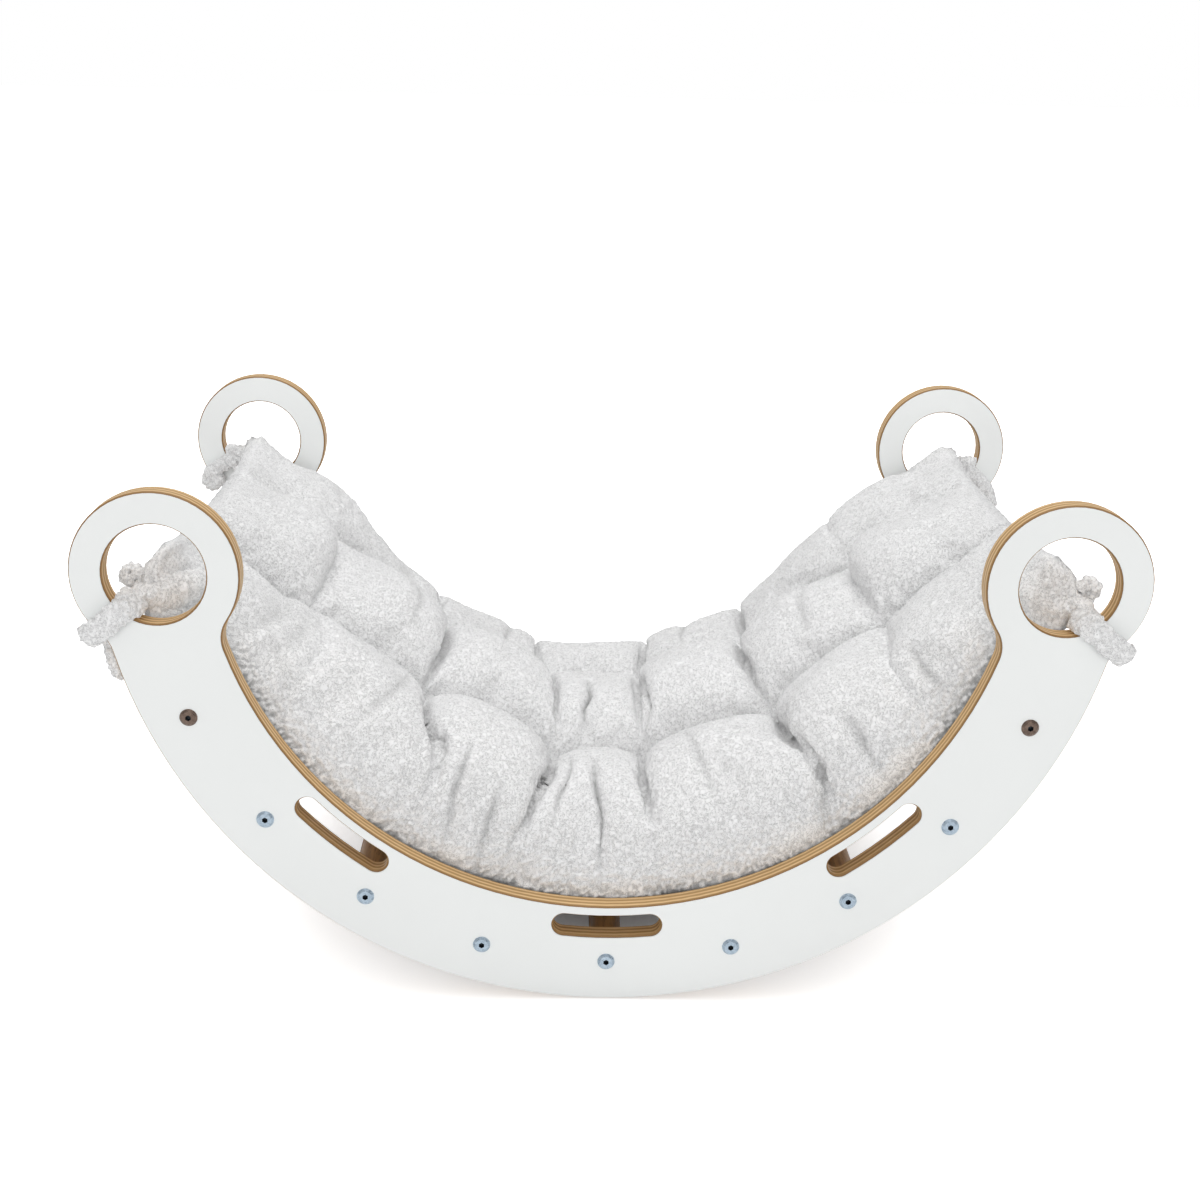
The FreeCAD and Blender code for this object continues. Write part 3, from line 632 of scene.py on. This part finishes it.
# Spun polyester thread: bright white with a slight sheen, its twist drawn as bands 1 mm apart.
place = add(thread, "ShaderNodeTexCoord", {})
twist = add(thread, "ShaderNodeTexWave", {"Vector": (place, "Object"), "Scale": 160.0},
            bands_direction="DIAGONAL")
tone = add(thread, "ShaderNodeValToRGB", {"Fac": (twist, "Fac")}, [(0.2, "#D8D8D6"), (0.8, "#F2F2F0")])
bump = add(thread, "ShaderNodeBump", {"Height": (twist, "Fac"), "Strength": 0.4, "Distance": 0.0003})
wire(shader, {"Base Color": (tone, "Color"), "Normal": (bump, "Normal"),
              "Roughness": 0.6, "Sheen Weight": 0.2})
stitches = []
for tuft_angle, tuft_y in tuft_spots:
    miss = np.hypot(np.radians(angle - tuft_angle) * FOLD_ARC, y - tuft_y) + 1000 * ~top
    spot = points.reshape(-1, 3)[miss.argmin()]
    out = np.array([spot[0], 0, spot[2] - AXIS_HEIGHT])
    surface = np.linalg.norm(out)
    out /= surface
    along = np.array([-out[2], 0, out[0]]) * STITCH_SPAN / 2
    axis = np.array([0, spot[1], AXIS_HEIGHT])
    # Up through the base, along over the fleece and down again
    legs = [(-1, THREAD_END), (-1, surface + 6), (-0.9, surface - 0.5), (0, surface - 1.2),
            (0.9, surface - 0.5), (1, surface + 6), (1, THREAD_END)]
    path = [tuple(axis + out * radius + along * share) + (THREAD_HALF,) for share, radius in legs]
    stitches.append(grid_mesh("stitch", strand(path, STITCH_STEPS, STITCH_SIDES, 1.0)))
stitches = joined("tuft_stitches", stitches)
stitches.data.materials.append(thread)
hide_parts("tuft_threads")
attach(stitches, "root")


# Ties
# Four strips of the same fleece, sewn to the cushion's corners. Each leaves the corner as a fat roll, is
# knotted inside the ring, and goes round the ring's lower outer side to a short tail.
RING_X, RING_Z, PANEL_Y = 330.46, 338.35, 231.0
OUT_X, OUT_Z = 0.669, -0.743
# Places are millimetres out from the ring's middle to that side, down along it, and out of the panel's
# middle plane, with the half thickness.
ROLL = ((-6, 36, -50, 8), (1, 31, -42, 11), (8, 25, -34, 13), (15, 18, -28, 14.5), (22, 10, -22, 12.5),
        (27, 4, -12, 9), (30, 2, 0, 7))
STRAP = ((27, 2, -8, 7), (30, 1, 4, 6.5), (34, 0, 13, 5.5), (40, -1, 15.4, 5.4), (50, -2, 15.6, 5.4),
         (60, -4, 15.2, 5.4), (67, -5, 11, 5.2), (68.5, -5, 2, 5), (68, -4, -7, 5), (64, -3, -14, 5),
         (58, -2, -15.6, 5), (50, 0, -16, 5))
HANGING_TAIL = ((54, 0, -17, 5), (62, 4, -20, 6), (70, 10, -20, 6.6), (78, 21, -19.5, 7.2),
                (84, 30, -19, 6.8), (88, 36, -18.5, 5.5))
TUCKED_TAIL = ((54, 0, -17, 5), (57, 8, -20, 6), (58, 18, -20, 6.5), (57, 30, -19, 6.8), (55, 40, -19, 6))
SIDE_TAIL = ((22, -6, -20, 6), (36, -9, -17.5, 5.6), (48, -10, -16.6, 5.6), (60, -9, -16.4, 5.6),
             (70, -5, -16.2, 5.6), (76, -1, -16, 6))
SHORT_TAIL = ((22, -6, -20, 6), (36, -10, -17.5, 5.6), (50, -14, -16.6, 5.6), (62, -17, -16.4, 5.6))
# Each corner's tail, and how far down its strap lies
TIES = {"front_left": (HANGING_TAIL, 0), "front_right": (TUCKED_TAIL, 6),
        "back_left": (SHORT_TAIL, -5), "back_right": (SIDE_TAIL, 0)}
TIE_SIDES = 44
TIE_LARGE_CURL, TIE_SMALL_CURL = (0.5, 6.0), (0.35, 4.0)
KNOT_PLACE, KNOT_SIZE, KNOT_HALF, KNOT_LIFT, KNOT_POINTS = (23, -7, -24), 3.0, 4.2, 1.1, 60

# An overhand knot pulled tight, as a trefoil
turn = np.linspace(0, 2 * np.pi, KNOT_POINTS)
knot = np.stack([np.sin(turn) + 2 * np.sin(2 * turn), np.cos(turn) - 2 * np.cos(2 * turn),
                 -KNOT_LIFT * np.sin(3 * turn)], 1)
knot = np.column_stack([knot * KNOT_SIZE + np.array(KNOT_PLACE), np.full(KNOT_POINTS, KNOT_HALF)])
for corner, (tail, strap_down) in TIES.items():
    panel, end = corner.split("_")
    x_side = -1 if end == "left" else 1
    y_side = -1 if panel == "front" else 1
    seed = 20 + x_side + 3 * y_side
    strap = [(out, down + strap_down, off, half) for out, down, off, half in STRAP]
    strands = []
    for places, steps, width in ((ROLL, 90, 1.05), (strap, 130, 1.75), (tail, 70, 1.2), (knot, 240, 1.0)):
        grid = strand(places, steps, TIE_SIDES, width)
        out, down, off = grid[..., 0], grid[..., 1], grid[..., 2]
        x = x_side * (RING_X + OUT_X * out + OUT_Z * down)
        z = RING_Z + OUT_Z * out - OUT_X * down
        grid = np.stack([x, y_side * (PANEL_Y + off), z], -1)
        if x_side * y_side < 0:
            grid = grid[:, ::-1]
        tie_pile = TIE_LARGE_CURL[0] * curls(grid, TIE_LARGE_CURL[1], seed)
        tie_pile += TIE_SMALL_CURL[0] * curls(grid, TIE_SMALL_CURL[1], seed + 1)
        strands.append(grid_mesh("strand", grid + grid_normals(grid) * tie_pile[..., None]))
    tie = joined("%s_fleece_tie" % corner, strands)
    tie.data.materials.append(fleece)
    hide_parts("%s_tie_loop" % corner, "%s_tie_knot" % corner)
    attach(tie, "root")


# Studio
# A pale floor that fades into a white background, one broad light from above and behind, one from low in
# front, a softbox overhead, and a camera where the photograph was taken from.
FLOOR_HALF = 30.0
SUNS = (("overhead", 0.96, -20.0), ("front_fill", 0.9, 78.0))
SUN_SPREAD = 40.0
SOFTBOX_POWER, SOFTBOX_SIZE, SOFTBOX_PLACE, SOFTBOX_TILT = 2.6, 1.2, (0, -0.22, 1.3), 16.0
CAMERA_PLACE = (-0.039452, -1.445691, 0.699674)
CAMERA_YAW, CAMERA_PITCH, CAMERA_ROLL = 1.3755, 17.2805, 1.2156
CAMERA_SENSOR, CAMERA_LENS = 36.0, 52.476
corners = [(x * FLOOR_HALF, y * FLOOR_HALF, 0) for x, y in ((-1, -1), (1, -1), (1, 1), (-1, 1))]
floor_mesh = bpy.data.meshes.new("studio_floor")
floor_mesh.from_pydata(corners, [], [(0, 1, 2, 3)])
floor = bpy.data.objects.new("studio_floor", floor_mesh)
bpy.context.collection.objects.link(floor)
floor_paint, shader = new_material("white_studio_floor")
# Matt white paper. The camera sees it brighter than it is lit, more so away from the object, so it reads
# as white and still keeps the shadow.
rays = add(floor_paint, "ShaderNodeLightPath", {})
place = add(floor_paint, "ShaderNodeTexCoord", {})
from_middle = add(floor_paint, "ShaderNodeVectorMath", {0: (place, "Object")}, operation="LENGTH")
bright = add(floor_paint, "ShaderNodeMapRange",
             {"Value": (from_middle, "Value"), "From Min": 0.06, "From Max": 0.42},
             interpolation_type="SMOOTHSTEP")
glow = add(floor_paint, "ShaderNodeMath",
           {0: (rays, "Is Camera Ray"), 1: (bright, "Result")}, operation="MULTIPLY")
wire(shader, {"Base Color": linear("#F2F2F2"), "Roughness": 0.9, "Specular IOR Level": 0.0,
              "Emission Color": (1, 1, 1, 1), "Emission Strength": (glow, "Value")})
floor_mesh.materials.append(floor_paint)

world = bpy.data.worlds.new("studio")
bpy.context.scene.world = world
world.use_nodes = True
rays = add(world, "ShaderNodeLightPath", {})
strength = add(world, "ShaderNodeMapRange",
               {"Value": (rays, "Is Camera Ray"), "To Min": 0.52, "To Max": 1.0})
wire(world.node_tree.nodes["Background"], {"Color": (1, 1, 1, 1), "Strength": (strength, "Result")})

for name, power, tilt in SUNS:
    lamp = bpy.data.lights.new(name, "SUN")
    lamp.energy = power
    lamp.angle = math.radians(SUN_SPREAD)
    light = bpy.data.objects.new(name, lamp)
    light.rotation_euler = (math.radians(tilt), 0, 0)
    bpy.context.collection.objects.link(light)
lamp = bpy.data.lights.new("softbox", "AREA")
lamp.energy = SOFTBOX_POWER
lamp.size = SOFTBOX_SIZE
light = bpy.data.objects.new("softbox", lamp)
light.location = SOFTBOX_PLACE
light.rotation_euler = (math.radians(SOFTBOX_TILT), 0, 0)
bpy.context.collection.objects.link(light)

camera_data = bpy.data.cameras.new("camera")
camera_data.sensor_width = CAMERA_SENSOR
camera_data.lens = CAMERA_LENS
camera_data.clip_end = 100.0
camera = bpy.data.objects.new("camera", camera_data)
yaw, pitch, roll = (math.radians(a) for a in (CAMERA_YAW, CAMERA_PITCH, CAMERA_ROLL))
ahead = Vector((math.sin(yaw) * math.cos(pitch), math.cos(yaw) * math.cos(pitch), -math.sin(pitch)))
right = Vector((math.cos(yaw), -math.sin(yaw), 0))
up = right.cross(ahead)
across = math.cos(roll) * right + math.sin(roll) * up
upright = math.cos(roll) * up - math.sin(roll) * right
facing = Matrix((across, upright, -ahead)).transposed().to_4x4()
camera.matrix_world = Matrix.Translation(CAMERA_PLACE) @ facing
bpy.context.collection.objects.link(camera)
scene = bpy.context.scene
scene.camera = camera
scene.view_settings.view_transform = "Standard"
